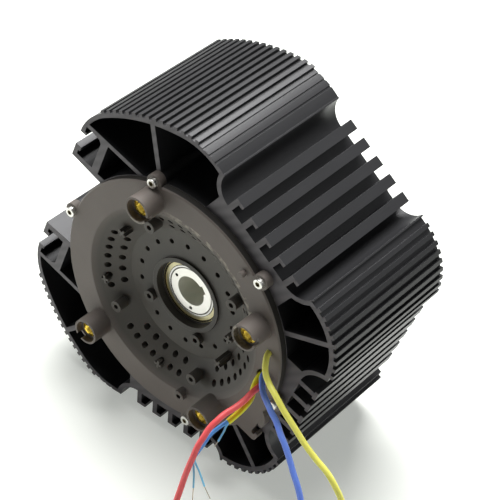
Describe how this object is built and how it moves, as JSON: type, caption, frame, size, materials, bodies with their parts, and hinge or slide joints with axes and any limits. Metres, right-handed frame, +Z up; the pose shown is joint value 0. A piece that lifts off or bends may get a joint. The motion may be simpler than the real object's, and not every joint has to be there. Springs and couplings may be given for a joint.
{
  "type": "brushless dc motor",
  "caption": "Brushless dc motor with a finned extruded housing, dished end cover with threaded cups, hollow keyed shaft and free wires.",
  "frame": {"origin": "centre of the shaft's front face", "axes": "+Y along the shaft into the motor, +X to the right seen from the front, +Z up; the motor lies on one finned side"},
  "size_m": [0.3795, 0.2635, 0.2526],
  "materials": {
    "black_anodised": "matt black anodised extrusion with cut end faces",
    "cover_plastic": "matt dark glass-filled moulding",
    "zinc_steel": "zinc-plated steel",
    "brass": "turned brass",
    "lamination_steel": "stacked electrical steel",
    "insulator": "moulded insulating plastic",
    "enamelled_copper": "enamelled copper wire",
    "board_green": "glass-fibre circuit board",
    "sensor_black": "moulded sensor body",
    "ferrite": "bonded ferrite",
    "magnet_plate": "nickel-plated magnet",
    "ground_steel": "ground steel",
    "bearing_steel": "ground bearing steel",
    "cage_nylon": "moulded nylon",
    "shield_steel": "passivated sheet steel",
    "spring_steel": "spring steel",
    "yellow_insulation": "soft yellow insulation",
    "blue_insulation": "soft blue insulation",
    "red_insulation": "soft red insulation",
    "tie_black": "nylon tie",
    "tinned_copper": "tinned copper",
    "light_blue_insulation": "soft light blue insulation"
  },
  "bodies": {
    "frame": {"housing": "black_anodised", "front_cover": "cover_plastic", "rear_cover": "cover_plastic", "front_screws": "zinc_steel", "rear_screws": "zinc_steel", "brass_inserts": "brass", "stator_core": "lamination_steel", "front_insulator": "insulator", "rear_insulator": "insulator", "windings_u": "enamelled_copper", "windings_v": "enamelled_copper", "windings_w": "enamelled_copper", "connection_board": "board_green", "hall_board": "board_green", "hall_sensors": "sensor_black", "front_outer_race": "bearing_steel", "front_bearing_shields": "shield_steel", "rear_outer_race": "bearing_steel", "rear_bearing_shields": "shield_steel", "wave_washer": "spring_steel", "yellow_phase_wire": "yellow_insulation", "blue_phase_wire": "blue_insulation", "red_phase_wire": "red_insulation", "yellow_wire_coil": "yellow_insulation", "blue_wire_coil": "blue_insulation", "red_wire_coil": "red_insulation", "coil_ties": "tie_black", "ring_terminals": "tinned_copper", "sensor_sleeve": "yellow_insulation", "sensor_inner_sleeve": "blue_insulation", "sensor_lead_a": "light_blue_insulation", "sensor_lead_b": "light_blue_insulation", "sensor_lead_c": "light_blue_insulation"},
    "rotor": {"shaft": "ground_steel", "rotor_core": "lamination_steel", "magnets": "magnet_plate", "sensor_magnet": "ferrite", "front_inner_race": "bearing_steel", "rear_inner_race": "bearing_steel"},
    "front_cage": {"front_balls": "bearing_steel", "front_ball_cage": "cage_nylon"},
    "rear_cage": {"rear_balls": "bearing_steel", "rear_ball_cage": "cage_nylon"}
  },
  "joints": [
    {"name": "rotor_spin", "type": "hinge", "parent": "frame", "child": "rotor", "pos_m": [0, 0, 0], "axis": [0, 1, 0], "continuous": true},
    {"name": "front_cage_spin", "type": "hinge", "parent": "frame", "child": "front_cage", "pos_m": [0, 0, 0], "axis": [0, 1, 0], "continuous": true},
    {"name": "rear_cage_spin", "type": "hinge", "parent": "frame", "child": "rear_cage", "pos_m": [0, 0, 0], "axis": [0, 1, 0], "continuous": true}
  ],
  "couplings": [
    {"joint": "front_cage_spin", "follows": "rotor_spin", "ratio": 0.4573},
    {"joint": "rear_cage_spin", "follows": "rotor_spin", "ratio": 0.4573}
  ]
}
